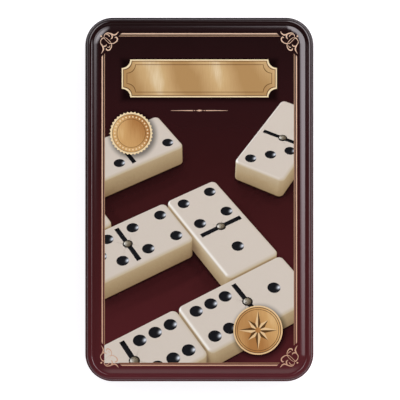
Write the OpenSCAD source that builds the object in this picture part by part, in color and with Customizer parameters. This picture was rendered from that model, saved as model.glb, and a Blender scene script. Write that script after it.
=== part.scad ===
// Domino storage tin: a stamped tinplate base and slip-on lid, a formed plastic tray,
// and a double-six set of domino tiles with brass spinners lying in it.
// +Z is up, Y runs along the tin. The origin is the middle of the face it stands on.

/* [Tin] */
// Length of the lid, from wall to wall
tin_l = 191; // [188:1:200]
// Width of the lid, from wall to wall
tin_w = 119; // [118:0.5:126]
// Height of the closed tin
tin_h = 29; // [29:0.5:34]
// Radius of the tin's corners, seen from above
corner_r = 13.5; // [12:0.5:14]
// Thickness of the tinplate
sheet = 0.3; // [0.25:0.05:0.35]
// Depth of the lid, from its panel to the bottom of its rolled edge
lid_depth = 15; // [12:0.5:18]
// Gap between the lid's skirt and the base's wall
slip_gap = 0.3; // [0.3:0.05:0.5]
// Radius inside the rolled edges
curl_r = 0.4; // [0.35:0.05:0.5]

/* [Dominoes] */
// Length of a tile
tile_l = 50; // [49:0.5:50]
// Width of a tile
tile_w = 25; // [24.5:0.25:25]
// Thickness of a tile
tile_h = 12; // [10:0.5:12]
// Radius of a tile's corners, seen from above
tile_corner_r = 2.4; // [2:0.1:3]
// Radius of the edges of a tile's faces
tile_edge_r = 1.3; // [0.8:0.1:1.5]
// Diameter of a pip
pip_d = 5.2; // [4:0.2:5.4]
// Depth of a pip
pip_depth = 0.8; // [0.5:0.1:0.9]
// Diameter of a spinner's head
spinner_d = 3.6; // [3:0.2:4.4]
// Height of a spinner's head above the tile
spinner_rise = 0.6; // [0.4:0.1:0.8]

/* [Tray] */
// Thickness of the tray's plastic
tray_wall = 0.7; // [0.6:0.1:0.8]
// Height of the tray's flange above the table
tray_top = 18; // [16:0.5:19]
// Width of the rib between the two pockets
rib_w = 7; // [6.5:0.5:8]
// Play of a tile's ends in its pocket
end_play = 0.6; // [0.4:0.1:0.8]
// Play of a whole row of tiles along its pocket
row_play = 1.6; // [1.2:0.1:2]
// Length of a finger well in the rib
well_l = 30; // [24:1:36]
// Radius of a finger scallop in a pocket's outer wall
scallop_r = 12; // [10:0.5:12]
// Depth of a finger scallop behind the pocket's outer wall
scallop_depth = 2.4; // [1.8:0.1:2.5]

/* [Hidden] */
// The stamped ring of the lid, from its panel outwards: a domed bevel, a groove and a crest
panel_bend_r = 1.2;
bevel_top_tilt = 16;
bevel_r = 8.8;
bevel_tilt = 34;
groove_r = 1.1;
crest_tilt = 32;
crest_rise_l = 0.1;
crest_in_r = 0.5;
crest_r = 2.3;
// The stamped ring of the base, from its floor outwards
foot_rise = 0.8;
foot_tilt = 40;
foot_bend_r = 1;
foot_w = 2;
base_edge_r = 2.6;
// Both
panel_reach = 12;
plate_lap = 0.5;
curl_turn = 300;
bend_step = 15;
round_fn = 96;
ball_fn = 32;
rest_gap = 0.1;
over = 1;

// Straight stretches of the outline, between its rounded corners
straight_w = tin_w - 2 * corner_r;
straight_l = tin_l - 2 * corner_r;

// Ring of the lid: how wide it is, and how far its crest lies below the panel
lid_ring_w = panel_bend_r * sin(bevel_top_tilt) + bevel_r * (sin(bevel_tilt) - sin(bevel_top_tilt))
    + groove_r * (sin(bevel_tilt) + sin(crest_tilt)) + crest_rise_l * cos(crest_tilt)
    + crest_in_r * sin(crest_tilt) + crest_r;
groove_drop = panel_bend_r * (1 - cos(bevel_top_tilt)) + bevel_r * (cos(bevel_top_tilt) - cos(bevel_tilt))
    + groove_r * (1 - cos(bevel_tilt));
crest_drop = groove_drop - (groove_r + crest_in_r) * (1 - cos(crest_tilt))
    - crest_rise_l * sin(crest_tilt);
curl_out = curl_r + sheet;

// Ring of the base
base_inset = sheet + slip_gap;
// Its rolled edge ends just under the bend of the lid's crest: from the middle of that bend
// to the middle of the roll, straight and across
rim_reach = crest_r - sheet - curl_out - rest_gap;
rim_side = crest_r - base_inset - curl_out;
base_h = tin_h - crest_drop - crest_r + sqrt(pow(rim_reach, 2) - pow(rim_side, 2)) + curl_out;
foot_out_r = foot_bend_r + sheet;
foot_l = (foot_rise - (foot_bend_r + foot_out_r) * (1 - cos(foot_tilt))) / sin(foot_tilt);
base_ring_w = (foot_bend_r + foot_out_r) * sin(foot_tilt) + foot_l * cos(foot_tilt)
    + foot_w + base_edge_r + base_inset;

// Moves of a sheet: [straight length, bend radius of its outer face, bend angle, left is positive]
LID_MOVES = [
    [panel_reach - lid_ring_w, panel_bend_r, -bevel_top_tilt],
    [0, bevel_r, bevel_top_tilt - bevel_tilt],
    [0, groove_r, bevel_tilt + crest_tilt],
    [crest_rise_l, crest_in_r, -crest_tilt],
    [0, crest_r, -90],
    [lid_depth - crest_drop - crest_r - curl_out, curl_r, curl_turn]];
BASE_MOVES = [
    [panel_reach - base_ring_w, foot_bend_r, -foot_tilt],
    [foot_l, foot_out_r, foot_tilt],
    [foot_w, base_edge_r, 90],
    [base_h - base_edge_r - curl_out, curl_out, curl_turn]];

// Tray and the places of the tiles in it
columns = 2;
layers = 2;
most_pips = 6;
tiles = (most_pips + 1) * (most_pips + 2) / 2;
rows = tiles / columns / layers;
shuffle = 11;
floor_z = foot_rise + sheet;
tray_floor_z = floor_z + tray_wall;
layer_pitch = tile_h + spinner_rise;
row_pitch = tile_w + row_play / (rows + 1);
pocket_w = tile_l + end_play;
pocket_l = rows * tile_w + row_play;
pocket_x = (rib_w + pocket_w) / 2;
pocket_r = 1.5;
tray_gap = 0.4;
wall_in = base_inset + sheet + tray_gap;
flange_r = corner_r - wall_in;
flange_w = tin_w - 2 * wall_in;
flange_l = tin_l - 2 * wall_in;
well_pitch = 2 * tile_w;

// Face of a tile
pip_r = (pip_d * pip_d / 4 + pip_depth * pip_depth) / (2 * pip_depth);
half_x = tile_l / 4 + 0.3;
pip_pitch = tile_w * 0.27;
divider_w = 1.4;
divider_l = tile_w - 5;
divider_depth = 0.45;
pin_r = 0.8;
bore_r = 0.85;
bore_depth = 7;
pin_l = 6.5;
head_r = (spinner_d * spinner_d / 4 + spinner_rise * spinner_rise) / (2 * spinner_rise);

DOMINOES = [for (a = [0:most_pips]) for (b = [0:a]) [a, b]];

// Outer face of a bent sheet, from p along heading h: a list of [point, heading]
function fold(moves, p, h, i = 0) =
    i == len(moves) ? [[p, h]] :
    let (move = moves[i],
        start = p + move[0] * [cos(h), sin(h)],
        side = sign(move[2]) * move[1],
        centre = start + side * [-sin(h), cos(h)],
        steps = ceil(abs(move[2]) / bend_step),
        bend = [for (k = [0:steps]) let (a = h + move[2] * k / steps)
            [centre + side * [sin(a), -cos(a)], a]])
    concat(move[0] > 0 ? [[p, h]] : [], [for (k = [0:steps - 1]) bend[k]],
        fold(moves, bend[steps][0], h + move[2], i + 1));

// Section of a sheet of thickness t to the left of its outer face, or to the right below 0
module sheet_section(path, t)
    polygon(concat([for (s = path) s[0]],
        [for (i = [len(path) - 1:-1:0]) path[i][0] + t * [-sin(path[i][1]), cos(path[i][1])]]));

// Carries a section round the tin: its x is the distance outside the lid's wall
module round_the_tin() {
    for (turn = [0, 180]) rotate([0, 0, turn]) {
        translate([tin_w / 2, straight_l / 2, 0]) rotate([90, 0, 0])
            linear_extrude(straight_l) children();
        rotate([0, 0, 90]) translate([tin_l / 2, straight_w / 2, 0]) rotate([90, 0, 0])
            linear_extrude(straight_w) children();
        translate([straight_w / 2, straight_l / 2, 0]) corner_of_the_tin() children();
        translate([straight_w / 2, -straight_l / 2, 0]) rotate([0, 0, -90])
            corner_of_the_tin() children();
    }
}

module corner_of_the_tin()
    rotate_extrude(angle = 90, $fn = round_fn) translate([corner_r, 0]) children();

// Flat middle of a stamped panel, whose edge laps the ring that goes round the tin
module middle_plate(z) {
    w = tin_w - 2 * (panel_reach - plate_lap);
    l = tin_l - 2 * (panel_reach - plate_lap);
    translate([-w / 2, -l / 2, z]) cube([w, l, sheet]);
}

module rounded(w, l, r) {
    square([w - 2 * r, l], center = true);
    square([w, l - 2 * r], center = true);
    for (x = [-1, 1], y = [-1, 1])
        translate([x * (w / 2 - r), y * (l / 2 - r)]) circle(r, $fn = round_fn);
}

module tin_base() color("#4a1c1f") {
    round_the_tin() sheet_section(fold(BASE_MOVES, [-panel_reach, foot_rise], 0), sheet);
    middle_plate(foot_rise);
}

module tin_lid() color("#3a1719") {
    round_the_tin() sheet_section(fold(LID_MOVES, [-panel_reach, tin_h], 0), -sheet);
    middle_plate(tin_h - sheet);
}

// Pocket with its finger scallops, seen from above, made larger all round by grow
module pocket_shape(grow) {
    rounded(pocket_w + 2 * grow, pocket_l + 2 * grow, pocket_r + grow);
    for (y = well_pitch * [-1, 0, 1])
        translate([pocket_w / 2 + scallop_depth - scallop_r, y])
        circle(scallop_r + grow, $fn = round_fn);
}

module both_pockets()
    for (turn = [0, 180]) rotate([0, 0, turn]) translate([pocket_x, 0, 0]) children();

module tray() color("#1c1b1d") difference() {
    union() {
        translate([0, 0, tray_top - tray_wall])
            linear_extrude(tray_wall) rounded(flange_w, flange_l, flange_r);
        both_pockets() translate([0, 0, floor_z])
            linear_extrude(tray_top - floor_z) pocket_shape(tray_wall);
        for (y = well_pitch * [-1, 0, 1])
            translate([-rib_w / 2, y - well_l / 2 - tray_wall, floor_z])
            cube([rib_w, well_l + 2 * tray_wall, tray_top - floor_z]);
    }
    both_pockets() translate([0, 0, tray_floor_z]) linear_extrude(tray_top) pocket_shape(0);
    for (y = well_pitch * [-1, 0, 1])
        translate([-rib_w / 2 - over, y - well_l / 2, tray_floor_z])
        cube([rib_w + 2 * over, well_l, tray_top]);
}

// Moves the tile with pips a and b from the origin to its place in the tray
module in_its_place(a, b) {
    place = (a * (a + 1) / 2 + b) * shuffle % tiles;
    layer = floor(place / (rows * columns));
    column = floor(place / rows) % columns;
    row = place % rows;
    translate([pocket_x * (2 * column - 1), row_pitch * (row - (rows - 1) / 2),
        tray_floor_z + layer * layer_pitch])
        rotate([0, 0, 180 * (row % 2)]) children();
}

// Block with round edges: two crossed prisms, and a turned piece at each corner
module tile_block() translate([0, 0, tile_h / 2]) {
    side_l = tile_l - 2 * tile_corner_r;
    side_w = tile_w - 2 * tile_corner_r;
    rotate([90, 0, 0]) linear_extrude(side_w, center = true) rounded(tile_l, tile_h, tile_edge_r);
    rotate([90, 0, 90]) linear_extrude(side_l, center = true) rounded(tile_w, tile_h, tile_edge_r);
    for (turn = [0, 180]) rotate([0, 0, turn]) {
        translate([side_l / 2, side_w / 2, 0]) tile_corner();
        translate([side_l / 2, -side_w / 2, 0]) rotate([0, 0, -90]) tile_corner();
    }
}

module tile_corner() rotate_extrude(angle = 90, $fn = round_fn) intersection() {
    rounded(2 * tile_corner_r, tile_h, tile_edge_r);
    translate([0, -tile_h / 2]) square([tile_corner_r, tile_h]);
}

// Places of n pips on a half, as steps along and across the tile
function pips(n) = concat(
    n % 2 == 1 ? [[0, 0]] : [],
    n > 1 ? [[-1, 1], [1, -1]] : [],
    n > 3 ? [[1, 1], [-1, -1]] : [],
    n > 5 ? [[0, 1], [0, -1]] : []);

module pip_dimples(n)
    for (p = pips(n))
        translate([half_x + p[0] * pip_pitch, p[1] * pip_pitch, tile_h - pip_depth + pip_r])
        sphere(pip_r, $fn = ball_fn);

module domino(a, b) color("#e2d8c4") in_its_place(a, b) difference() {
    tile_block();
    pip_dimples(a);
    rotate([0, 0, 180]) pip_dimples(b);
    translate([-divider_w / 2, -divider_l / 2, tile_h - divider_depth])
        cube([divider_w, divider_l, over]);
    translate([0, 0, tile_h - bore_depth]) cylinder(bore_depth + over, r = bore_r, $fn = round_fn);
}

// Brass pin of a tile, with the domed head that the tile spins on
module spinner() translate([0, 0, tile_h]) rotate_extrude($fn = round_fn) {
    translate([0, -pin_l]) square([pin_r, pin_l + spinner_rise / 2]);
    intersection() {
        translate([0, spinner_rise - head_r]) circle(head_r, $fn = round_fn);
        square([spinner_d / 2, spinner_rise]);
    }
}

module spinners() color("#c9a24e")
    for (d = DOMINOES) in_its_place(d[0], d[1]) spinner();

tin_base();
tin_lid();
tray();
spinners();
for (d = DOMINOES)
    domino(d[0], d[1]);
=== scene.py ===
"""Looks of a domino storage tin: printed tinplate lid, lacquered base, black tray, ivory tiles."""
import math

import bpy
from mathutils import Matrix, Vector
from mathutils.bvhtree import BVHTree


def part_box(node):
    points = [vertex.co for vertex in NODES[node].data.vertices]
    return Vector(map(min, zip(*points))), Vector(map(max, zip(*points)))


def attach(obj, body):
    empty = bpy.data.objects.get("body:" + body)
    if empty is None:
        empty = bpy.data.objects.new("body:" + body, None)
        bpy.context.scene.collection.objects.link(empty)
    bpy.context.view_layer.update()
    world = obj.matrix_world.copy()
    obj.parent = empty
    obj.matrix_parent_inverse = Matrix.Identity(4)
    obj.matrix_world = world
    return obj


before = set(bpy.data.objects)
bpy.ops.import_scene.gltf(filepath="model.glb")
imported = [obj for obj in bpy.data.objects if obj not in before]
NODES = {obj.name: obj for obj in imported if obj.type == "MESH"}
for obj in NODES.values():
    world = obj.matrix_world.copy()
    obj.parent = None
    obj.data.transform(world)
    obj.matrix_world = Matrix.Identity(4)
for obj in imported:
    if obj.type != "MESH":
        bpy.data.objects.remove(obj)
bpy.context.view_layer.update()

MM = 0.001
TILES = sorted(name for name in NODES if name.startswith("domino_"))
LID_LOW, LID_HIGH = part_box("tin_lid")
BASE_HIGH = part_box("tin_base")[1]

# The lid: its rolled edge stands out beyond the wall, and its panel is the top face.
# Further in from the wall than SKIRT_INSIDE, a face beside the rolled edge is on the skirt's inside.
BEAD_OUT = 1.1 * MM
BEAD_H = 1.4 * MM
SKIRT_INSIDE = 0.2 * MM
CORNER_R = 13.5 * MM
WALL_X = LID_HIGH.x - BEAD_OUT
WALL_Y = LID_HIGH.y - BEAD_OUT
PANEL_Z = LID_HIGH.z

# The tiles: how deep under a tile's top, and how far inside its sides, its pips and divider lie
SUNK_FROM = 0.02 * MM
SUNK_TO = 1.0 * MM
SUNK_INSIDE = 2.2 * MM

# Vertices of a CAD mesh this close are one, and bends below this angle are shaded round
WELD = 0.001 * MM
SMOOTH_ANGLE = math.radians(32)

# The printed frame: middle of its outer gold line, the step to the inner one, and how far the lines
# stop short of the corners. LINE_SLANT is how far their ends slant, in line widths.
LINE_X = 51.3 * MM
LINE_Y = 87.55 * MM
LINE_STEP = 1.15 * MM
OUTER_LINE_W = 0.65 * MM
INNER_LINE_W = 0.5 * MM
LINE_GAP_X = 9.5 * MM
LINE_GAP_Y = 11.2 * MM
INNER_LONGER = 0.9 * MM
LINE_SLANT = 1.5

# The corner scrolls: where their dot lies from the outer line's corner, the pen's size for a half
# width of 1, and how flat its strokes are pressed
SCROLL_OUT = 0.5 * MM
SCROLL_IN = 1.3 * MM
PEN_SIZE = 0.88 * MM
PEN_FLATNESS = 0.115

# The plaque at the back of the panel, the flourish and the seal before it, and the medallion at the front
PLAQUE_Y = 64 * MM
PLAQUE_HALF = (41 * MM, 10 * MM)
PLAQUE_NOTCH = 4.5 * MM
FLOURISH_Y = 47 * MM
MEDALLION_AT = Vector((31 * MM, -69 * MM, 0))
MEDALLION_R = 13 * MM
STAR_POINTS = 8
STAR_R = 10.4 * MM
STAR_MINOR = 0.72
STAR_VALLEY = 0.36
BOSS_R = 1.5 * MM
SEAL_AT = Vector((-36 * MM, 35 * MM, 0))
SEAL_R = 11.5 * MM
SEAL_TEETH = 36
SEAL_PINKING = 0.94
BEAD_RING_R = 0.76 * SEAL_R
BEAD_R = 0.45 * MM
BEADS = 30

# Their bands of light repeat every GOLD_BAND. Each drops a shadow to the front and the right, which is
# darkest SHADOW_CORE inside its edge and gone SHADOW_BLUR outside it.
GOLD_BAND = 34 * MM
SHADOW_DROP = 0.8 * MM
SHADOW_CORE = 1 * MM
SHADOW_BLUR = 3 * MM
SHADOW_DARK = 0.3

# Layers of print on the panel: how far their tops stand above it. All start just inside the sheet.
PRINT_FOOT = 0.01 * MM
GROUND_TOP = 0.004 * MM
TILE_FOOT = 0.005 * MM
TILE_TOP = 0.016 * MM
INK_TOP = 0.024 * MM
LAYER = 0.001 * MM

# The printed picture: a train of tiles on a table, seen from above at a slant, by an eye EYE away.
# It fills the window inside the inner gold line.
TILT = math.radians(40)
EYE = 420 * MM
PICTURE_Y = -20 * MM
WINDOW_X = LINE_X - LINE_STEP
WINDOW_Y = LINE_Y - LINE_STEP
TILE_SCALE = 1.2
TILE_H = 12 * MM
SPINNER_D = 3.6 * MM
SPINNER_RISE = 0.6 * MM
SPINNER_RIM = 0.3 * MM
RIM_H = 0.2 * MM
DIVIDER_REACH = 0.75 * MM
DIVIDER_BOLDER = 1.45
TALLEST = (TILE_H + SPINNER_RISE) * TILE_SCALE
SHADING_CUT = 5 * MM
GROUND_CELL = 1.6 * MM
IVORY, BLACK, BRASS = range(3)

# The train: both faces of each tile, and the side on which it leaves the one before
TRAIN = ((3, 6, "start"), (6, 1, "on"), (1, 4, "left"), (4, 5, "left"), (5, 2, "right"), (2, 2, "right"))
TRAIN_START = (-29 * MM, -84 * MM)
TRAIN_HEADING = math.radians(32)
TRAIN_GAP = 1 * MM
LOOSE_TILE = (3, 0, Vector((47 * MM, 61 * MM)), math.radians(60))

# Its light: a bright room, brighter towards ROOM_SIDE. A glint shows where a face looks along
# WINDOW_GLINT, half way between a window and the eye, and a broader sheen where it looks along EDGE_SHEEN.
# The picture's meshes keep both in the attribute DRAWN: direction in its colour, light in its alpha.
DRAWN = "drawn_light"
SKY_RAYS = 24
GOLDEN_ANGLE = math.pi * (3 - math.sqrt(5))
RAY_START = 0.3 * MM
RAY_REACH = 32 * MM
ROOM_LIGHT = 0.62
ROOM_SLOPE = 0.5
ROOM_SIDE = Vector((-0.4, 0.25, 0.88))
TABLE_GLOW = 0.36
TILE_GLOW = 0.3
WINDOW_GLINT = Vector((-0.43, -0.08, 0.9)).normalized()
EDGE_SHEEN = Vector((-0.7, -0.1, 0.7)).normalized()
PIP_GLOSS = 90
BRASS_GLOSS = 28
IVORY_GLOSS = 9

# The camera looks straight down. VIEW_WIDTH is what it sees of the lid's panel, from side to side.
CAMERA_HEIGHT = 2.5
SENSOR = 36.0
VIEW_WIDTH = 211.32 * MM
CAMERA_X = 0.35 * MM
CAMERA_Y = -0.25 * MM

# The studio, in metres. The softbox gives the shadows their direction: the way to it, how far off it
# stands, its side, and its power in watts.
FLOOR_SIZE = 8
SOFTBOX = ((0.5, 0.5, 0.75), 1.4, 0.8, 9)

# Oval boards that shine in the lid's bends, and a black flag that keeps its left side dark. Each one: the
# way to it, how far off it stands, its half size, how strongly it shines, its tint, and how solid it is
# from its middle to its edge.
BOARDS = {
    "board_right": ((0.80, 0.28, 0.58), 1.15, (0.52, 0.37), 7.5, "#f4eef4",
                    ((0.58, "#ffffff"), (0.72, "#d4d4d4"), (0.85, "#a4a4a4"), (0.94, "#8c8c8c"),
                     (1.0, "#000000"))),
    "board_corner": ((0.5, 0.69, 0.51), 1.2, (0.8, 0.27), 7.5, "#f4eef4",
                     ((0.7, "#ffffff"), (0.85, "#909090"), (1.0, "#000000"))),
    "board_left": ((-0.68, 0.54, 0.66), 1.1, (0.8, 0.2), 9, "#f4eef4",
                   ((0.3, "#ffffff"), (0.75, "#9c9c9c"), (1.0, "#000000"))),
    "flag_left": ((-0.85, -0.3, 0.42), 1.1, (0.55, 0.45), 0, "#000000",
                  ((0.7, "#ffffff"), (1.0, "#000000"))),
    "board_front": ((0.1, -0.83, 0.55), 1.15, (0.9, 0.3), 1.1, "#ffe8e6",
                    ((0.3, "#ffffff"), (1.0, "#000000"))),
}


# ---------------------------------------------------------------- small helpers

def srgb(code):
    """Linear colour of an sRGB hex code."""
    parts = [int(code[i:i + 2], 16) / 255 for i in (1, 3, 5)]
    return [c / 12.92 if c <= 0.04045 else ((c + 0.055) / 1.055) ** 2.4 for c in parts] + [1.0]


def fill(tree, node, inputs):
    """Gives a node its inputs. A socket is linked, a node by the output in use, and the rest are values."""
    for key, given in inputs.items():
        if isinstance(given, bpy.types.Node):
            given = next(output for output in given.outputs if output.enabled)
        if isinstance(given, bpy.types.NodeSocket):
            tree.links.new(given, node.inputs[key])
        else:
            node.inputs[key].default_value = given


def add(tree, kind, inputs=None, stops=(), **settings):
    """Adds a node with its settings and inputs. The stops of a colour ramp are (position, hex code), and
    the colours that a Mix node mixes are its inputs 6 and 7."""
    made = tree.nodes.new("ShaderNode" + kind)
    for name, value in settings.items():
        setattr(made, name, value)
    if stops:
        elements = made.color_ramp.elements
        while len(elements) < len(stops):
            elements.new(1.0)
        for element, (position, code) in zip(elements, stops):
            element.position = position
            element.color = srgb(code)
    fill(tree, made, inputs or {})
    return made


def new_material(name):
    """A material with one Principled shader, its node tree, and the shader."""
    made = bpy.data.materials.new(name)
    made.use_nodes = True
    return made, made.node_tree, made.node_tree.nodes["Principled BSDF"]


def only(*objects):
    """Leaves edit mode and selects these objects alone, the last one active."""
    if bpy.context.object and bpy.context.object.mode != "OBJECT":
        bpy.ops.object.mode_set(mode="OBJECT")
    bpy.ops.object.select_all(action="DESELECT")
    for made in objects:
        made.select_set(True)
        bpy.context.view_layer.objects.active = made


def apply_modifier(piece, kind, **settings):
    """Puts a modifier on the piece and applies it."""
    only(piece)
    modifier = piece.modifiers.new(kind.title(), kind)
    for name, value in settings.items():
        setattr(modifier, name, value)
    bpy.ops.object.modifier_apply(modifier=modifier.name)


def pick(piece, test):
    """Goes to edit mode with the vertices selected that pass the test."""
    only(piece)
    bpy.ops.object.mode_set(mode="EDIT")
    bpy.ops.mesh.select_mode(type="VERT")
    bpy.ops.mesh.select_all(action="DESELECT")
    bpy.ops.object.mode_set(mode="OBJECT")
    for vertex in piece.data.vertices:
        vertex.select = test(vertex)
    bpy.ops.object.mode_set(mode="EDIT")


def settle(piece, name, *materials):
    """Bakes the piece's place into its mesh, names it and gives it the materials, if any are named."""
    only(piece)
    bpy.ops.object.transform_apply(location=True, rotation=True, scale=True)
    piece.name = piece.data.name = name
    if materials:
        piece.data.materials.clear()
    for material in materials:
        piece.data.materials.append(material)
    return piece


def print_on_lid(piece):
    """Makes a finished piece part of the lid's print: it rides the lid."""
    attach(piece, "lid")


# ---------------------------------------------------------------- camera, floor and light

def camera():
    """Long lens straight over the tin, framed like a catalogue picture."""
    data = bpy.data.cameras.new("camera")
    data.sensor_width = SENSOR
    data.lens = SENSOR * CAMERA_HEIGHT / VIEW_WIDTH
    data.clip_end = 20
    made = bpy.data.objects.new("camera", data)
    made.location = (CAMERA_X, CAMERA_Y, PANEL_Z + CAMERA_HEIGHT)
    bpy.context.scene.collection.objects.link(made)
    bpy.context.scene.camera = made


def floor():
    """Pale floor. It is lifted to white for the camera, and keeps the shadow under the tin."""
    only()
    bpy.ops.mesh.primitive_plane_add(size=FLOOR_SIZE)
    made = bpy.context.object
    made.name = "floor"
    material, tree, shader = new_material("pale_paper")
    fill(tree, shader, {"Base Color": srgb("#c6c4c8"), "Roughness": 0.7})
    ray = add(tree, "LightPath")
    lift = add(tree, "Emission", {"Strength": ray.outputs["Is Camera Ray"], "Color": srgb("#dddddd")})
    both = add(tree, "AddShader", {0: shader, 1: lift})
    fill(tree, tree.nodes["Material Output"], {"Surface": both})
    made.data.materials.append(material)


def aim_at_tin(made, toward, distance):
    """Sets something up in the direction toward, its own -Z looking back at the tin."""
    direction = Vector(toward).normalized()
    made.location = direction * distance
    made.rotation_euler = direction.to_track_quat("Z", "Y").to_euler()


def softbox(toward, distance, size, power):
    """A square lamp that gives the shadows their direction. It is too plain to be seen in reflections."""
    data = bpy.data.lights.new("softbox", "AREA")
    data.size = size
    data.energy = power
    made = bpy.data.objects.new("softbox", data)
    made.visible_glossy = False
    aim_at_tin(made, toward, distance)
    bpy.context.scene.collection.objects.link(made)


def glow_board(name, toward, distance, half_size, strength, tint, solid):
    """An oval board that only reflections see, with stops that say how solid it is."""
    only()
    bpy.ops.mesh.primitive_plane_add(size=2)
    board = bpy.context.object
    board.name = name
    board.scale = (*half_size, 1)
    aim_at_tin(board, toward, distance)
    material, tree, shader = new_material(name + "_card")
    place = add(tree, "TexCoord")
    off_middle = add(tree, "VectorMath", {0: place.outputs["Object"]}, operation="LENGTH")
    fill(tree, shader, {"Base Color": srgb("#000000"), "Roughness": 1.0, "Emission Strength": strength,
                        "Emission Color": srgb(tint), "Alpha": add(tree, "ValToRGB", {0: off_middle}, solid)})
    board.data.materials.append(material)
    board.visible_camera = board.visible_diffuse = board.visible_shadow = False
    board.visible_transmission = False


def studio():
    """A white room that reflections see darker towards the ceiling, with the softbox and the boards."""
    world = bpy.data.worlds.new("studio")
    bpy.context.scene.world = world
    world.use_nodes = True
    tree = world.node_tree
    ray = add(tree, "LightPath")
    place = add(tree, "TexCoord")
    height = add(tree, "SeparateXYZ", {0: place.outputs["Generated"]})
    room = add(tree, "ValToRGB", {0: height.outputs["Z"]},
               ((0.0, "#b6b2b6"), (0.12, "#8c888c"), (0.3, "#5e5a5e"), (0.7, "#3a383e"), (0.88, "#1c1b1e")))
    lit = add(tree, "Mix", {0: ray.outputs["Is Glossy Ray"], 6: srgb("#e0e0e2"), 7: room}, data_type="RGBA")
    seen = add(tree, "Mix", {0: ray.outputs["Is Camera Ray"], 6: lit, 7: srgb("#ffffff")}, data_type="RGBA")
    fill(tree, tree.nodes["Background"], {"Color": seen})
    softbox(*SOFTBOX)
    for name, board in BOARDS.items():
        glow_board(name, *board)


# ---------------------------------------------------------------- materials

def along_the_tin(tree):
    """Place along the tin's long side: 0 at its front end, 1 at its back end."""
    place = add(tree, "TexCoord")
    along = add(tree, "SeparateXYZ", {0: place.outputs["Object"]})
    return add(tree, "MapRange", {"Value": along.outputs["Y"], "From Min": -WALL_Y, "From Max": WALL_Y})


def mottled(tree, size, detail=2.0, stretch=(1, 1, 1)):
    """Random light and dark in spots about size across. A stretch under 1 draws them out that way."""
    place = add(tree, "TexCoord")
    scaled = add(tree, "Mapping", {0: place.outputs["Object"], "Scale": stretch})
    return add(tree, "TexNoise", {"Vector": scaled, "Scale": 1 / size, "Detail": detail})


def varnish(tree):
    """Stoved varnish: faint waviness of the sheet, and the orange peel of the coat over it."""
    wavy = add(tree, "Bump", {"Height": mottled(tree, 45 * MM), "Strength": 0.12, "Distance": 0.12 * MM})
    return add(tree, "Bump", {"Height": mottled(tree, 0.9 * MM), "Strength": 0.05, "Distance": 0.01 * MM,
                              "Normal": wavy})


def ground_ink(tree):
    """Ground of the print: dark brown at the back of the lid, burgundy at its front."""
    uneven = add(tree, "Math", {0: mottled(tree, 9 * MM, 4), 1: 0.06, 2: -0.03}, operation="MULTIPLY_ADD")
    place = add(tree, "Math", {0: along_the_tin(tree), 1: uneven}, operation="ADD")
    return add(tree, "ValToRGB", {0: place}, ((0.0, "#552328"), (0.1, "#4d1d20"), (0.4, "#401819"),
                                              (0.6, "#341314"), (0.8, "#2a1113"), (1.0, "#1c0e0e")))


def printed_tinplate():
    """Offset-printed tinplate under gloss varnish: deep ink, crisp highlights along every bend."""
    material, tree, shader = new_material("printed_tinplate")
    fill(tree, shader, {"Base Color": ground_ink(tree), "Normal": varnish(tree), "Roughness": 0.12,
                        "IOR": 1.5})
    return material


def lacquered_tinplate():
    """Roller-coated burgundy lacquer on tinplate: even colour, a little softer than the lid's varnish."""
    material, tree, shader = new_material("lacquered_tinplate")
    tone = add(tree, "ValToRGB", {0: mottled(tree, 14 * MM, 4)}, ((0.3, "#451419"), (0.7, "#52191f")))
    fill(tree, shader, {"Base Color": tone, "Normal": varnish(tree), "Roughness": 0.17, "IOR": 1.5})
    return material


def bare_tinplate():
    """Bright tinplate under clear lacquer: cool grey metal with fine rolling lines along the sheet."""
    material, tree, shader = new_material("bare_tinplate")
    lines = mottled(tree, 0.6 * MM, 3, (1, 0.02, 1))
    tone = add(tree, "ValToRGB", {0: lines}, ((0.3, "#a9a7ab"), (0.7, "#c4c2c4")))
    rolled = add(tree, "Bump", {"Height": lines, "Strength": 0.12, "Distance": 0.01 * MM})
    fill(tree, shader, {"Base Color": tone, "Normal": rolled, "Metallic": 1.0, "Roughness": 0.3})
    return material


def tray_polystyrene():
    """Vacuum-formed black polystyrene: satin, with a fine grain from the mould. The grain is coarser than
    the real one, so that it shows."""
    material, tree, shader = new_material("formed_polystyrene")
    tone = add(tree, "ValToRGB", {0: mottled(tree, 20 * MM, 3)}, ((0.3, "#131316"), (0.7, "#1b1b1f")))
    grain = add(tree, "Bump", {"Height": mottled(tree, 0.35 * MM), "Strength": 0.25, "Distance": 0.03 * MM})
    fill(tree, shader, {"Base Color": tone, "Normal": grain, "Roughness": 0.42, "IOR": 1.59})
    return material


def tile_urea():
    """Moulded urea resin, tumbled to a polish: warm ivory with soft flow marks and fine specks."""
    material, tree, shader = new_material("ivory_urea")
    flow = mottled(tree, 7 * MM, 3, (0.35, 1, 1))
    ivory = add(tree, "ValToRGB", {0: flow}, ((0.3, "#ded2bb"), (0.55, "#e8decb"), (0.75, "#ede5d4")))
    specks = add(tree, "ValToRGB", {0: mottled(tree, 0.5 * MM)}, ((0.28, "#b9a482"), (0.36, "#ffffff")))
    resin = add(tree, "Mix", {0: 0.5, 6: ivory, 7: specks}, data_type="RGBA", blend_type="MULTIPLY")
    wavy = add(tree, "Bump", {"Height": mottled(tree, 3 * MM), "Strength": 0.06, "Distance": 0.05 * MM})
    fill(tree, shader, {"Base Color": resin, "Normal": wavy, "Roughness": 0.2, "IOR": 1.55})
    return material


def pip_enamel():
    """Black enamel wiped into the pips and the divider: glossy, pooled a little unevenly."""
    material, tree, shader = new_material("black_enamel")
    pooled = add(tree, "ValToRGB", {0: mottled(tree, 1.2 * MM)}, ((0.3, "#08080a"), (0.7, "#121216")))
    fill(tree, shader, {"Base Color": pooled, "Roughness": 0.12, "IOR": 1.5})
    return material


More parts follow.
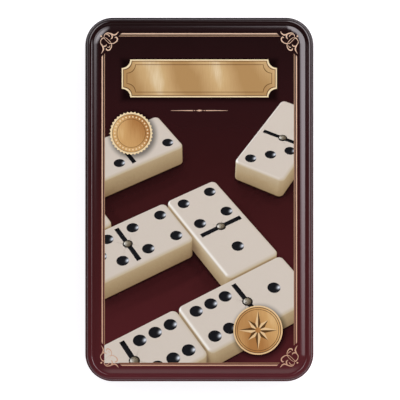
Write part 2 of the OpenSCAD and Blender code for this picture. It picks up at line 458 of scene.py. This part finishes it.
def spinner_brass():
    """Turned and tumbled brass: bright yellow, a little uneven where tumbling has worn it."""
    material, tree, shader = new_material("turned_brass")
    worn = add(tree, "ValToRGB", {0: mottled(tree, 0.8 * MM, 3)}, ((0.3, "#c79a4e"), (0.7, "#e0bd74")))
    fill(tree, shader, {"Base Color": worn, "Metallic": 1.0, "Roughness": 0.24})
    return material


def satin_gold(name, dark, middle, light):
    """Printed satin gold: slanting bands of light as on brushed metal, over a fine grain."""
    material, tree, shader = new_material(name)
    place = add(tree, "TexCoord")
    spot = add(tree, "SeparateXYZ", {0: place.outputs["Object"]})
    slant = add(tree, "Math", {0: spot.outputs["Y"], 1: 0.5, 2: spot.outputs["X"]}, operation="MULTIPLY_ADD")
    turns = add(tree, "Math", {0: slant, 1: math.tau / GOLD_BAND}, operation="MULTIPLY")
    wave = add(tree, "Math", {0: turns}, operation="SINE")
    patch = mottled(tree, 14 * MM, 2, (1, 0.4, 1))
    brushed = mottled(tree, 0.5 * MM, 3, (1, 0.08, 1))
    soft = add(tree, "Math", {0: patch, 1: 0.9, 2: -0.2}, operation="MULTIPLY_ADD")
    bands = add(tree, "Math", {0: wave, 1: 0.28, 2: soft}, operation="MULTIPLY_ADD")
    fine = add(tree, "Math", {0: brushed, 1: 0.25, 2: -0.12}, operation="MULTIPLY_ADD")
    sheen = add(tree, "Math", {0: bands, 1: fine}, operation="ADD")
    gold = add(tree, "ValToRGB", {0: sheen}, ((0.0, dark), (0.5, middle), (0.85, light)))
    fill(tree, shader, {"Base Color": gold, "Roughness": 0.16, "IOR": 1.5})
    return material


def gold_ink(name, dark, light):
    """Printed champagne gold: pale at the lid's back, browner at its front, with a fine metallic grain."""
    material, tree, shader = new_material(name)
    grain = add(tree, "Math", {0: mottled(tree, 0.7 * MM), 1: 0.3, 2: -0.15}, operation="MULTIPLY_ADD")
    place = add(tree, "Math", {0: along_the_tin(tree), 1: grain}, operation="ADD")
    gold = add(tree, "ValToRGB", {0: place}, ((0.0, dark), (1.0, light)))
    fill(tree, shader, {"Base Color": gold, "Roughness": 0.16, "IOR": 1.5})
    return material


def stored_light(tree):
    """How bright a spot of the picture is, as stored on its mesh."""
    return add(tree, "Attribute", attribute_name=DRAWN).outputs["Alpha"]


def stored_glint(tree, toward, power):
    """Highlight where the direction that the drawn thing faces, as stored on its mesh, is near toward."""
    stored = add(tree, "Attribute", attribute_name=DRAWN)
    facing = add(tree, "VectorMath", {0: stored.outputs["Vector"]}, operation="NORMALIZE")
    near = add(tree, "VectorMath", {0: facing, 1: toward}, operation="DOT_PRODUCT")
    lit = add(tree, "Math", {0: near, 1: 0.0}, operation="MAXIMUM")
    return add(tree, "Math", {0: lit, 1: power}, operation="POWER")


def drop_shadow(tree):
    """Soft shadow printed round the plaque and the two gold discs: 1 away from them, and dark beside them."""
    place = add(tree, "TexCoord").outputs["Object"]
    spot = add(tree, "SeparateXYZ", {0: place})
    off_axis = add(tree, "Math", {0: spot.outputs["X"]}, operation="ABSOLUTE")
    beside = add(tree, "Math", {0: off_axis, 1: PLAQUE_HALF[0] - SHADOW_DROP}, operation="SUBTRACT")
    along = add(tree, "Math", {0: spot.outputs["Y"], 1: PLAQUE_Y - SHADOW_DROP}, operation="SUBTRACT")
    off_line = add(tree, "Math", {0: along}, operation="ABSOLUTE")
    ahead = add(tree, "Math", {0: off_line, 1: PLAQUE_HALF[1]}, operation="SUBTRACT")
    near = add(tree, "Math", {0: beside, 1: ahead}, operation="MAXIMUM")
    for disc_at, radius in ((MEDALLION_AT, MEDALLION_R), (SEAL_AT, SEAL_R)):
        middle = disc_at + Vector((SHADOW_DROP, -SHADOW_DROP, PANEL_Z))
        reach = add(tree, "VectorMath", {0: place, 1: middle}, operation="DISTANCE")
        off_disc = add(tree, "Math", {0: reach, 1: radius}, operation="SUBTRACT")
        near = add(tree, "Math", {0: near, 1: off_disc}, operation="MINIMUM")
    return add(tree, "MapRange", {"Value": near, "From Min": -SHADOW_CORE, "From Max": SHADOW_BLUR,
                                  "To Min": SHADOW_DARK, "To Max": 1.0}, interpolation_type="SMOOTHSTEP")


def picture_ink(name, glint, toward, power, stops):
    """Offset print of a shaded thing: its colours from shadow to light, its glint, and a faint grain."""
    material, tree, shader = new_material(name)
    grain = add(tree, "Math", {0: mottled(tree, 1.1 * MM, 3), 1: 0.05, 2: -0.025}, operation="MULTIPLY_ADD")
    light = add(tree, "Math", {0: stored_light(tree), 1: grain}, operation="ADD")
    drawn = add(tree, "ValToRGB", {0: light}, stops)
    glinting = add(tree, "Mix", {0: stored_glint(tree, toward, power), 6: drawn, 7: srgb(glint)},
                   data_type="RGBA")
    ink = add(tree, "Mix", {0: 1.0, 6: glinting, 7: drop_shadow(tree)}, data_type="RGBA",
              blend_type="MULTIPLY")
    fill(tree, shader, {"Base Color": ink, "Normal": varnish(tree), "Roughness": 0.12, "IOR": 1.5})
    return material


def printed_ivory():
    """The drawn tiles: ivory in the light, tan on their sides, with a broad sheen along the left edges."""
    return picture_ink("printed_ivory_ink", "#fdfaf6", EDGE_SHEEN, IVORY_GLOSS,
                       ((0.05, "#38261a"), (0.28, "#806648"), (0.46, "#aa9370"), (0.6, "#bfad90"),
                        (0.92, "#cdc1b5")))


def printed_black():
    """The drawn pips and dividers: black with a cold glint."""
    return picture_ink("printed_black_ink", "#dde1ea", WINDOW_GLINT, PIP_GLOSS,
                       ((0.1, "#050506"), (0.9, "#1a1a1d")))


def printed_brass():
    """The drawn spinners: dull brass, dark at the foot of the dome, with a white glint."""
    return picture_ink("printed_brass_ink", "#fffcf4", WINDOW_GLINT, BRASS_GLOSS,
                       ((0.6, "#120d08"), (0.8, "#54483a"), (1.0, "#9a8e78")))


def shadowed_ground():
    """The ground ink again, printed darker where the picture's shadows lie."""
    material, tree, shader = new_material("shadowed_ground_ink")
    shadow = add(tree, "ValToRGB", {0: stored_light(tree)},
                 ((0.2, "#2c2c2c"), (0.45, "#8c8c8c"), (0.8, "#ffffff")))
    ground = add(tree, "Mix", {0: 1.0, 6: ground_ink(tree), 7: shadow}, data_type="RGBA",
                 blend_type="MULTIPLY")
    ink = add(tree, "Mix", {0: 1.0, 6: ground, 7: drop_shadow(tree)}, data_type="RGBA",
              blend_type="MULTIPLY")
    fill(tree, shader, {"Base Color": ink, "Normal": varnish(tree), "Roughness": 0.12, "IOR": 1.5})
    return material


# ---------------------------------------------------------------- the CAD pieces

def soften(piece):
    """Shades the piece's small bends round and leaves its flat faces flat."""
    piece.data.polygons.foreach_set("use_smooth", [True] * len(piece.data.polygons))
    weld = piece.modifiers.new("weld", "WELD")
    weld.merge_threshold = WELD
    split = piece.modifiers.new("split", "EDGE_SPLIT")
    split.split_angle = SMOOTH_ANGLE
    split.use_edge_sharp = False
    flat = piece.modifiers.new("flat", "WEIGHTED_NORMAL")
    flat.weight = 80


def two_finishes(piece, first, second, is_second):
    """Gives the piece's faces that pass the test its second finish, and the others its first."""
    piece.data.materials.clear()
    piece.data.materials.append(first)
    piece.data.materials.append(second)
    piece.data.polygons.foreach_set("material_index", [int(is_second(p)) for p in piece.data.polygons])


def outward(place):
    """Level direction out of the tin at a place, and how far the place lies inside the lid's wall."""
    over_x = max(abs(place.x) - (WALL_X - CORNER_R), 0)
    over_y = max(abs(place.y) - (WALL_Y - CORNER_R), 0)
    if over_x == 0 and over_y == 0:
        inside_x, inside_y = WALL_X - abs(place.x), WALL_Y - abs(place.y)
        over_x, over_y = (1, 0) if inside_x < inside_y else (0, 1)
        inside = min(inside_x, inside_y)
    else:
        inside = CORNER_R - math.hypot(over_x, over_y)
    away = Vector((math.copysign(over_x, place.x), math.copysign(over_y, place.y), 0))
    return away.normalized(), inside


def dress_cad():
    """Gives every CAD piece its finishes, and its round shading."""
    tin = bare_tinplate()

    def lid_inside(face):
        """The sheet's bare face. The rolled edge is coated on both faces."""
        away, inside = outward(face.center)
        if face.center.z < LID_LOW.z + BEAD_H:
            return inside > SKIRT_INSIDE and face.normal.dot(away) < 0
        return face.normal.z + face.normal.dot(away) < 0

    def base_inside(face):
        """The sheet's bare face. The rolled edge turns the lacquered face inwards and hides the bare one."""
        away, inside = outward(face.center)
        if face.center.z > BASE_HIGH.z - BEAD_H:
            return False
        return face.normal.dot(away) - face.normal.z < 0

    two_finishes(NODES["tin_lid"], printed_tinplate(), tin, lid_inside)
    two_finishes(NODES["tin_base"], lacquered_tinplate(), tin, base_inside)
    NODES["tray"].data.materials[0] = tray_polystyrene()
    NODES["spinners"].data.materials[0] = spinner_brass()

    ivory, enamel = tile_urea(), pip_enamel()
    for name in TILES:
        low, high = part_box(name)
        two_finishes(NODES[name], ivory, enamel, lambda face: sunk_in_the_face(face, low, high))
    for piece in NODES.values():
        soften(piece)


def sunk_in_the_face(face, low, high):
    """True for the faces of a tile's pips and divider, just under its top and inside its round edges."""
    place = face.center
    depth = high.z - place.z
    side = min(place.x - low.x, high.x - place.x, place.y - low.y, high.y - place.y)
    return SUNK_FROM < depth < SUNK_TO and side > SUNK_INSIDE


# ---------------------------------------------------------------- gold frame and ornaments

def raise_print(piece, top):
    """Gives a flat shape at the foot of the print its thickness: its top stands this far above the panel."""
    only(piece)
    bpy.ops.object.mode_set(mode="EDIT")
    bpy.ops.mesh.select_all(action="SELECT")
    bpy.ops.mesh.extrude_region_move(TRANSFORM_OT_translate={"value": (0, 0, PRINT_FOOT + top)})
    bpy.ops.mesh.select_all(action="SELECT")
    bpy.ops.mesh.normals_make_consistent(inside=False)
    only(piece)


def frame_line(half_length, out, width, turn):
    """One side of a printed frame. Its ends are cut at a slant, shorter on the outside."""
    only()
    bpy.ops.mesh.primitive_plane_add(size=1, location=(0, out, PANEL_Z - PRINT_FOOT))
    piece = bpy.context.object
    piece.scale = (2 * half_length, width, 1)
    bpy.ops.object.transform_apply(location=True, rotation=True, scale=True)
    pick(piece, lambda vertex: vertex.co.y > out)
    bpy.ops.transform.resize(value=(1 - LINE_SLANT * width / half_length, 1, 1), center_override=(0, 0, 0))
    raise_print(piece, INK_TOP)
    piece.rotation_euler.z = turn
    return piece


def gold_frame(bright, dim):
    """Double gold line round the panel, open at the corners for the scrolls."""
    for name, inset, longer, width, ink in (("outer", 0, 0, OUTER_LINE_W, bright),
                                            ("inner", LINE_STEP, INNER_LONGER, INNER_LINE_W, dim)):
        sides = [frame_line(LINE_X - LINE_GAP_X + longer, LINE_Y - inset, width, 0),
                 frame_line(LINE_Y - LINE_GAP_Y + longer, LINE_X - inset, width, math.pi / 2)]
        for side in (copy_of(sides[0]), copy_of(sides[1])):
            side.rotation_euler.z += math.pi
            sides.append(side)
        only(*sides)
        bpy.ops.object.join()
        print_on_lid(settle(bpy.context.object, "print_frame_" + name, ink))


# Pen strokes of a corner scroll: the dot, the arm along the lid's short side, and the arm along its long
# side. Each point is its place in mm from the dot, inwards along the short side and inwards from it, and
# the pen's half width there. An arm has a leaf, a hook, a lobe and a large curl.
CORNER_SCROLL = (
    ((-0.35, -0.35, 0.2), (0, 0, 0.6), (0.35, 0.35, 0.2)),

    ((1.5, 0.4, 0.18), (1.6, -0.4, 0.2), (2.2, -1.3, 0.24), (3.2, -1.7, 0.32), (4.3, -1.6, 0.32),
     (5.5, -1.1, 0.4), (6.9, -0.7, 0.42), (7.9, -1.1, 0.36), (8.6, -1.9, 0.24), (9.2, -2.5, 0.04)),
    ((2.3, -0.7, 0.08), (3.0, -1.0, 0.2), (3.8, -0.6, 0.24), (4.3, 0.1, 0.26), (4.4, 0.3, 0.06)),
    ((5.4, -0.8, 0.3), (5.8, 0.0, 0.4), (5.6, 0.9, 0.36), (4.9, 1.5, 0.08)),
    ((7.2, 0.8, 0.24), (7.7, 0.5, 0.36), (8.35, 1.1, 0.4), (8.4, 2.1, 0.38), (7.7, 3.0, 0.34),
     (6.8, 3.6, 0.28), (5.5, 3.9, 0.24), (4.2, 3.7, 0.2), (3.3, 3.0, 0.18), (2.3, 2.0, 0.16),
     (1.4, 1.1, 0.14)),

    ((1.5, 0.7, 0.2), (0.8, 1.0, 0.34), (0.0, 1.8, 0.24), (-0.4, 2.8, 0.2), (-0.3, 3.8, 0.22),
     (0.3, 4.7, 0.28), (0.8, 5.6, 0.4), (1.1, 6.6, 0.42), (0.9, 7.5, 0.34), (0.5, 8.3, 0.22),
     (0.0, 9.2, 0.04)),
    ((0.8, 5.1, 0.2), (1.6, 5.3, 0.36), (2.4, 5.0, 0.32), (2.8, 4.2, 0.08)),
    ((2.6, 6.3, 0.2), (2.8, 7.1, 0.36), (3.5, 7.4, 0.4), (4.4, 7.1, 0.36), (5.1, 6.2, 0.3),
     (5.45, 5.1, 0.26), (5.3, 4.0, 0.22), (4.7, 2.9, 0.18), (3.7, 1.8, 0.17), (2.7, 1.0, 0.16),
     (1.9, 0.8, 0.14), (1.5, 1.1, 0.12)),
    ((3.2, 5.7, 0.1), (3.9, 5.85, 0.24), (4.5, 5.4, 0.2), (4.7, 4.8, 0.06)),
)


def strokes(lines, ink, name):
    """Pen strokes, each a round line that swells and tapers, pressed flat into the print."""
    made = []
    for line in lines:
        curve = bpy.data.curves.new(name, "CURVE")
        curve.dimensions = "3D"
        curve.bevel_depth = PEN_SIZE
        curve.bevel_resolution = 2
        curve.resolution_u = 6
        curve.use_fill_caps = True
        spline = curve.splines.new("BEZIER")
        spline.bezier_points.add(len(line) - 1)
        for point, (along, across, half_width) in zip(spline.bezier_points, line):
            point.co = (along * MM, across * MM, 0)
            point.handle_left_type = point.handle_right_type = "AUTO"
            point.radius = half_width
        stroke = bpy.data.objects.new(name, curve)
        bpy.context.scene.collection.objects.link(stroke)
        made.append(stroke)
    only(*made)
    bpy.ops.object.convert(target="MESH")
    bpy.ops.object.join()
    piece = bpy.context.object
    piece.scale.z = PEN_FLATNESS
    return settle(piece, name, ink)


def copy_of(piece):
    """A copy of a piece with its own mesh."""
    made = piece.copy()
    made.data = piece.data.copy()
    bpy.context.scene.collection.objects.link(made)
    return made


def placed_copy(piece, name, x, y, flip_x=1, flip_y=1):
    """A copy of a pressed ornament, mirrored if a flip is -1, at its place on the panel."""
    copy = copy_of(piece)
    copy.scale = (flip_x, flip_y, 1)
    copy.location = (x, y, PANEL_Z)
    only(copy)
    bpy.ops.object.transform_apply(location=True, rotation=True, scale=True)
    bpy.ops.object.mode_set(mode="EDIT")
    bpy.ops.mesh.select_all(action="SELECT")
    bpy.ops.mesh.normals_make_consistent(inside=False)
    only(copy)
    copy.name = copy.data.name = name
    print_on_lid(copy)


def corner_scrolls(ink):
    """The same scroll in the panel's four corners, mirrored as it needs."""
    lines = [[(along, -across, width) for along, across, width in line] for line in CORNER_SCROLL]
    pattern = strokes(lines, ink, "scroll_pattern")
    for side_x, across in ((-1, "left"), (1, "right")):
        for side_y, along in ((1, "back"), (-1, "front")):
            placed_copy(pattern, f"print_scroll_{along}_{across}", side_x * (LINE_X + SCROLL_OUT),
                        side_y * (LINE_Y - SCROLL_IN), -side_x, side_y)
    bpy.data.objects.remove(pattern)


def notched_plate(half, notch, top, ink, name):
    """Flat plate whose corners are cut out as quarter rounds."""
    only()
    bpy.ops.mesh.primitive_plane_add(size=2, location=(0, PLAQUE_Y, PANEL_Z - PRINT_FOOT))
    plate = bpy.context.object
    plate.scale = (*half, 1)
    bpy.ops.object.transform_apply(location=True, rotation=True, scale=True)
    raise_print(plate, top)
    for x in (-half[0], half[0]):
        for y in (PLAQUE_Y - half[1], PLAQUE_Y + half[1]):
            only()
            bpy.ops.mesh.primitive_cylinder_add(vertices=48, radius=notch, depth=MM, location=(x, y, PANEL_Z))
            cutter = bpy.context.object
            apply_modifier(plate, "BOOLEAN", operation="DIFFERENCE", object=cutter, solver="EXACT")
            bpy.data.objects.remove(cutter)
    print_on_lid(settle(plate, name, ink))


def plaque(bright, satin, dark):
    """Blank gold plaque: a bright edge, a dark engraved line and a satin field with another line in it.
    Each layer is given by how far inside the edge it starts, in mm."""
    layers = ((0, bright), (0.7, dark), (1.1, satin), (2.6, dark), (2.9, satin))
    for number, (inset, ink) in enumerate(layers):
        half = [side - inset * MM for side in PLAQUE_HALF]
        notched_plate(half, PLAQUE_NOTCH, INK_TOP + number * LAYER, ink, f"print_plaque_{number + 1}")


def flat_circle(place, radius, corners, fill="NGON"):
    """Flat round shape at the foot of the print."""
    only()
    bpy.ops.mesh.primitive_circle_add(vertices=corners, radius=radius, fill_type=fill,
                                      location=(place.x, place.y, PANEL_Z - PRINT_FOOT))
    return bpy.context.object


def draw_in(piece, place, share, test):
    """Brings the piece's vertices that pass the test in towards a place, to a share of their distance."""
    pick(piece, test)
    bpy.ops.transform.resize(value=(share, share, 1), center_override=(place.x, place.y, PANEL_Z))


def gold_disc(name, place, radius, layers, corners=64, pinking=1.0):
    """Flat discs on each other, each a share of the radius. Pinking under 1 notches the lowest one's edge."""
    for number, (share, ink) in enumerate(layers):
        disc = flat_circle(place, share * radius, corners)
        if number == 0 and pinking < 1:
            draw_in(disc, place, pinking, lambda vertex: vertex.index % 2 == 1)
        raise_print(disc, INK_TOP + number * LAYER)
        print_on_lid(settle(disc, f"{name}_{number + 1}", ink))


def bead_ring(top, ink):
    """Ring of small round beads round the seal's field."""
    bead = flat_circle(SEAL_AT, BEAD_R, 12)
    beads = [bead] + [copy_of(bead) for _ in range(BEADS - 1)]
    for number, bead in enumerate(beads):
        turn = number * math.tau / BEADS
        bead.location += BEAD_RING_R * Vector((math.cos(turn), math.sin(turn), 0))
    only(*beads)
    bpy.ops.object.join()
    ring = bpy.context.object
    raise_print(ring, top)
    print_on_lid(settle(ring, "print_seal_beads", ink))


def star(bright, shade, top):
    """Eight-pointed compass star, each point half in light and half in shade."""
    piece = flat_circle(MEDALLION_AT, STAR_R, 2 * STAR_POINTS, "TRIFAN")
    piece.rotation_euler.z = math.pi / 2
    settle(piece, "print_star", bright, shade)
    rim = [v for v in piece.data.vertices if (v.co - MEDALLION_AT).xy.length > STAR_R / 2]
    valleys = {v.index for v in rim if round(star_turn(v.co)) % 2}
    minor = {v.index for v in rim if round(star_turn(v.co)) % 4 == 2}
    draw_in(piece, MEDALLION_AT, STAR_VALLEY, lambda vertex: vertex.index in valleys)
    draw_in(piece, MEDALLION_AT, STAR_MINOR, lambda vertex: vertex.index in minor)
    only(piece)
    for face in piece.data.polygons:
        face.material_index = int(star_turn(face.center) // 1) % 2
    raise_print(piece, top)
    print_on_lid(piece)


def star_turn(place):
    """Direction of a place from the medallion's middle: even at the star's points, odd in its valleys."""
    off = place - MEDALLION_AT
    return math.atan2(off.y, off.x) / math.tau * 2 * STAR_POINTS


def medallion(bright, satin, dark):
    """Gold medallion with a compass star in a double ring."""
    layers = ((1.0, bright), (0.94, dark), (0.91, satin), (0.85, dark), (0.83, satin))
    gold_disc("print_medallion", MEDALLION_AT, MEDALLION_R, layers)
    star(bright, dark, INK_TOP + len(layers) * LAYER)
    boss = flat_circle(MEDALLION_AT, BOSS_R, 32)
    raise_print(boss, INK_TOP + (len(layers) + 1) * LAYER)
    print_on_lid(settle(boss, "print_medallion_boss", satin))


def seal(bright, satin, dark):
    """Blank gold seal with a pinked edge and a ring of beads."""
    layers = ((1.0, bright), (0.88, dark), (0.86, satin), (0.66, dark), (0.64, satin))
    gold_disc("print_seal", SEAL_AT, SEAL_R, layers, 2 * SEAL_TEETH, SEAL_PINKING)
    bead_ring(INK_TOP + len(layers) * LAYER, bright)


def flourish(ink):
    """Flourish under the plaque: a lozenge between two small beads and two tapering lines."""
    half = (((3.4, 0, 0.3), (9, 0, 0.22), (15, 0, 0.1)), ((2.2, 0, 0.04), (2.6, 0, 0.3), (3.0, 0, 0.04)))
    other_half = [[(-along, across, width) for along, across, width in line] for line in half]
    lozenge = ((-1.7, 0, 0.05), (0, 0, 0.6), (1.7, 0, 0.05))
    pattern = strokes([*half, *other_half, lozenge], ink, "flourish_pattern")
    placed_copy(pattern, "print_flourish", 0, FLOURISH_Y)
    bpy.data.objects.remove(pattern)


# ---------------------------------------------------------------- the printed picture of a game

def train_places(long, wide):
    """Where each tile of the train lies on the table, and its heading. Each joins the last one's open end."""
    place, heading = Vector(TRAIN_START), TRAIN_HEADING
    for first, second, way in TRAIN:
        ahead = Vector((math.cos(heading), math.sin(heading)))
        if way == "on":
            place = place + ahead * (long + TRAIN_GAP)
        elif way != "start":
            side = 1 if way == "left" else -1
            across = Vector((-ahead.y, ahead.x)) * side
            place = place + ahead * (long - wide) / 2 + across * ((long + wide) / 2 + TRAIN_GAP)
            heading += side * math.pi / 2
        yield first, second, place, heading


def cut_across(tile, size):
    """Cuts across a tile that lies at the origin, so that the light stored on it has spots to change at."""
    only(tile)
    bpy.ops.object.mode_set(mode="EDIT")
    for axis in range(3):
        cuts = round(size[axis] / SHADING_CUT)
        for cut in range(1, cuts):
            spot, across = [0, 0, 0], [0, 0, 0]
            spot[axis] = size[axis] * (cut / cuts - (0 if axis == 2 else 0.5))
            across[axis] = 1
            bpy.ops.mesh.select_all(action="SELECT")
            bpy.ops.mesh.bisect(plane_co=spot, plane_no=across)
    only(tile)


def drawn_spinner(top, inks):
    """Domed head of a spinner and the dark ring at its foot, on the middle of a tile's top."""
    only()
    bpy.ops.mesh.primitive_uv_sphere_add(segments=20, ring_count=10, radius=SPINNER_D / 2,
                                         location=(0, 0, top))
    dome = bpy.context.object
    dome.scale.z = 2 * SPINNER_RISE / SPINNER_D
    dome.data.materials.append(inks[BRASS])
    only()
    bpy.ops.mesh.primitive_cylinder_add(vertices=32, radius=SPINNER_D / 2 + SPINNER_RIM, depth=RIM_H,
                                        location=(0, 0, top))
    ring = bpy.context.object
    ring.data.materials.append(inks[BLACK])
    return dome, ring


def table_tile(inks, first, second, place, heading):
    """A tile of the set with its spinner on the picture's table: first face behind, second face ahead. Its
    divider is drawn bolder."""
    name = f"domino_{max(first, second)}_{min(first, second)}"
    low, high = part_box(name)
    middle, size = (low + high) / 2, high - low
    only()
    tile = bpy.data.objects.new(name, NODES[name].data.copy())
    bpy.context.scene.collection.objects.link(tile)
    tile.location = (-middle.x, -middle.y, -low.z)
    only(tile)
    bpy.ops.object.transform_apply(location=True, rotation=True, scale=True)
    bpy.ops.object.mode_set(mode="EDIT")
    bpy.ops.mesh.select_all(action="SELECT")
    bpy.ops.mesh.remove_doubles(threshold=WELD)
    pick(tile, lambda vertex: abs(vertex.co.x) < DIVIDER_REACH)
    bpy.ops.transform.resize(value=(DIVIDER_BOLDER, 1, 1), center_override=(0, 0, 0))
    cut_across(tile, size)
    dome, ring = drawn_spinner(size.z, inks)
    tile.data.materials[IVORY] = inks[IVORY]
    tile.data.materials[BLACK] = inks[BLACK]
    tile.data.materials.append(inks[BRASS])
    more_pips_ahead = 2 * sum(vertex.co.x > 0 for vertex in tile.data.vertices) > len(tile.data.vertices)
    only(dome, ring, tile)
    bpy.ops.object.join()
    tile.rotation_euler.z = heading if more_pips_ahead == (second > first) else heading + math.pi
    tile.scale = (TILE_SCALE,) * 3
    tile.location = (place.x, place.y, 0)
    only(tile)
    bpy.ops.object.transform_apply(location=True, rotation=True, scale=True)
    bpy.ops.mesh.customdata_custom_splitnormals_clear()
    bpy.ops.object.shade_flat()
    return tile


def sky_rays():
    """Directions spread over a hemisphere, more of them near its top."""
    rays = []
    for i in range(SKY_RAYS):
        turn, out = i * GOLDEN_ANGLE, math.sqrt((i + 0.5) / SKY_RAYS)
        rays.append(Vector((out * math.cos(turn), out * math.sin(turn), math.sqrt(1 - out * out))))
    return rays


def soft_light(solid, place, normal, rays):
    """Light on a spot of the picture's table: its share of a bright room, of the table and of other tiles."""
    aim = normal.to_track_quat("Z", "Y")
    start = place + normal * RAY_START
    total = 0
    for ray in rays:
        direction = aim @ ray
        if direction.z < 0:
            total += TABLE_GLOW * place.z / TALLEST
        elif solid.ray_cast(start, direction, RAY_REACH)[0]:
            total += TILE_GLOW
        else:
            total += ROOM_LIGHT + ROOM_SLOPE * direction.dot(ROOM_SIDE)
    return total / len(rays)


def shaded(piece, solid, rays, back_to_table):
    """Stores on each face corner the direction it faces, rounded over small bends, and how bright it is."""
    mesh = piece.data
    faces_at = [[] for _ in mesh.vertices]
    for face in mesh.polygons:
        for corner in face.vertices:
            faces_at[corner].append(face)
    known, stored = {}, [0.0] * (4 * len(mesh.loops))
    smooth_cos = math.cos(SMOOTH_ANGLE)
    for face in mesh.polygons:
        for corner, spot in zip(face.loop_indices, face.vertices):
            normal = Vector()
            for near in faces_at[spot]:
                if near.material_index == face.material_index and near.normal.dot(face.normal) > smooth_cos:
                    normal += near.normal * near.area
            normal.normalize()
            key = (spot, round(normal.x, 2), round(normal.y, 2), round(normal.z, 2))
            if key not in known:
                light = soft_light(solid, back_to_table(mesh.vertices[spot].co), normal, rays)
                known[key] = (*normal, light)
            stored[4 * corner:4 * corner + 4] = known[key]
    mesh.color_attributes.new(DRAWN, "FLOAT_COLOR", "CORNER").data.foreach_set("color", stored)


def into_picture(place):
    """Where the eye sees a place of the table. Height is kept, pressed flat: of two places it sees in
    one spot, the nearer one is always the higher one, so it ends on top."""
    toward = place.z * math.cos(TILT) - place.y * math.sin(TILT)
    grow = EYE / (EYE - toward)
    return Vector((place.x * grow,
                   (place.y * math.cos(TILT) + place.z * math.sin(TILT)) * grow + PICTURE_Y,
                   PANEL_Z + TILE_FOOT + (TILE_TOP - TILE_FOOT) * place.z / TALLEST))


def table_under(place):
    """The spot of the table that the eye sees at a place of the picture."""
    y = place.y - PICTURE_Y
    deep = y * EYE / (EYE * math.cos(TILT) - y * math.sin(TILT))
    return Vector((place.x * (EYE + deep * math.sin(TILT)) / EYE, deep, 0))


def crop_to_window(piece):
    """Cuts off what lies past the inner gold line at the left, the right and the front, and closes the cut.
    """
    for x, y in ((WINDOW_X, 0), (-WINDOW_X, 0), (0, -WINDOW_Y)):
        only(piece)
        bpy.ops.object.mode_set(mode="EDIT")
        bpy.ops.mesh.select_all(action="SELECT")
        bpy.ops.mesh.bisect(plane_co=(x, y, 0), plane_no=Vector((x, y, 0)).normalized(),
                            clear_outer=True, use_fill=True)
    only(piece)


def picture():
    """A train of played tiles, drawn as a very flat relief: real shapes in true perspective, pressed flat.
    The spinners are left out of what the light meets, because they are too small to matter to it."""
    low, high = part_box(TILES[0])
    long, wide = max(high.x - low.x, high.y - low.y), min(high.x - low.x, high.y - low.y)
    inks = printed_ivory(), printed_black(), printed_brass()
    lying = [*train_places(long * TILE_SCALE, wide * TILE_SCALE), LOOSE_TILE]
    tiles = [table_tile(inks, *step) for step in lying]
    spots, faces = [], []
    for tile in tiles:
        first = len(spots)
        spots += [vertex.co.copy() for vertex in tile.data.vertices]
        faces += [[first + corner for corner in face.vertices] for face in tile.data.polygons
                  if face.material_index != BRASS]
    solid = BVHTree.FromPolygons(spots, faces)
    rays = sky_rays()
    for number, tile in enumerate(tiles, 1):
        shaded(tile, solid, rays, Vector)
        for vertex in tile.data.vertices:
            vertex.co = into_picture(vertex.co)
        crop_to_window(tile)
        print_on_lid(settle(tile, f"print_tile_{number}"))
    print_on_lid(picture_ground(solid, rays))


def picture_ground(solid, rays):
    """Ground of the print inside the gold frame, with the soft shadows round the tiles."""
    only()
    across, along = round(2 * WINDOW_X / GROUND_CELL), round(2 * WINDOW_Y / GROUND_CELL)
    bpy.ops.mesh.primitive_grid_add(x_subdivisions=across, y_subdivisions=along, size=1,
                                    location=(0, 0, PANEL_Z - PRINT_FOOT))
    ground = bpy.context.object
    ground.scale = (2 * WINDOW_X, 2 * WINDOW_Y, 1)
    bpy.ops.object.transform_apply(location=True, rotation=True, scale=True)
    raise_print(ground, GROUND_TOP)
    shaded(ground, solid, rays, table_under)
    return settle(ground, "print_ground", shadowed_ground())


# ---------------------------------------------------------------- start

camera()
floor()
studio()
dress_cad()
bright_gold = gold_ink("bright_gold_ink", "#c79a80", "#dcb9a0")
dim_gold = gold_ink("dim_gold_ink", "#8f6650", "#a08068")
gold_frame(bright_gold, dim_gold)
corner_scrolls(bright_gold)
dark_line = gold_ink("engraved_line_ink", "#5a3c20", "#6e4c2a")
pale_gold = gold_ink("pale_gold_ink", "#ddb684", "#efdcb4")
plaque(pale_gold, satin_gold("satin_gold_ink", "#af8857", "#caa776", "#ecdcba"), dark_line)
flourish(bright_gold)
warm_gold = satin_gold("warm_gold_ink", "#a87440", "#cc9f66", "#efd2a0")
seal(pale_gold, warm_gold, dark_line)
medallion(pale_gold, warm_gold, dark_line)
picture()

bpy.context.scene.view_settings.view_transform = "Standard"
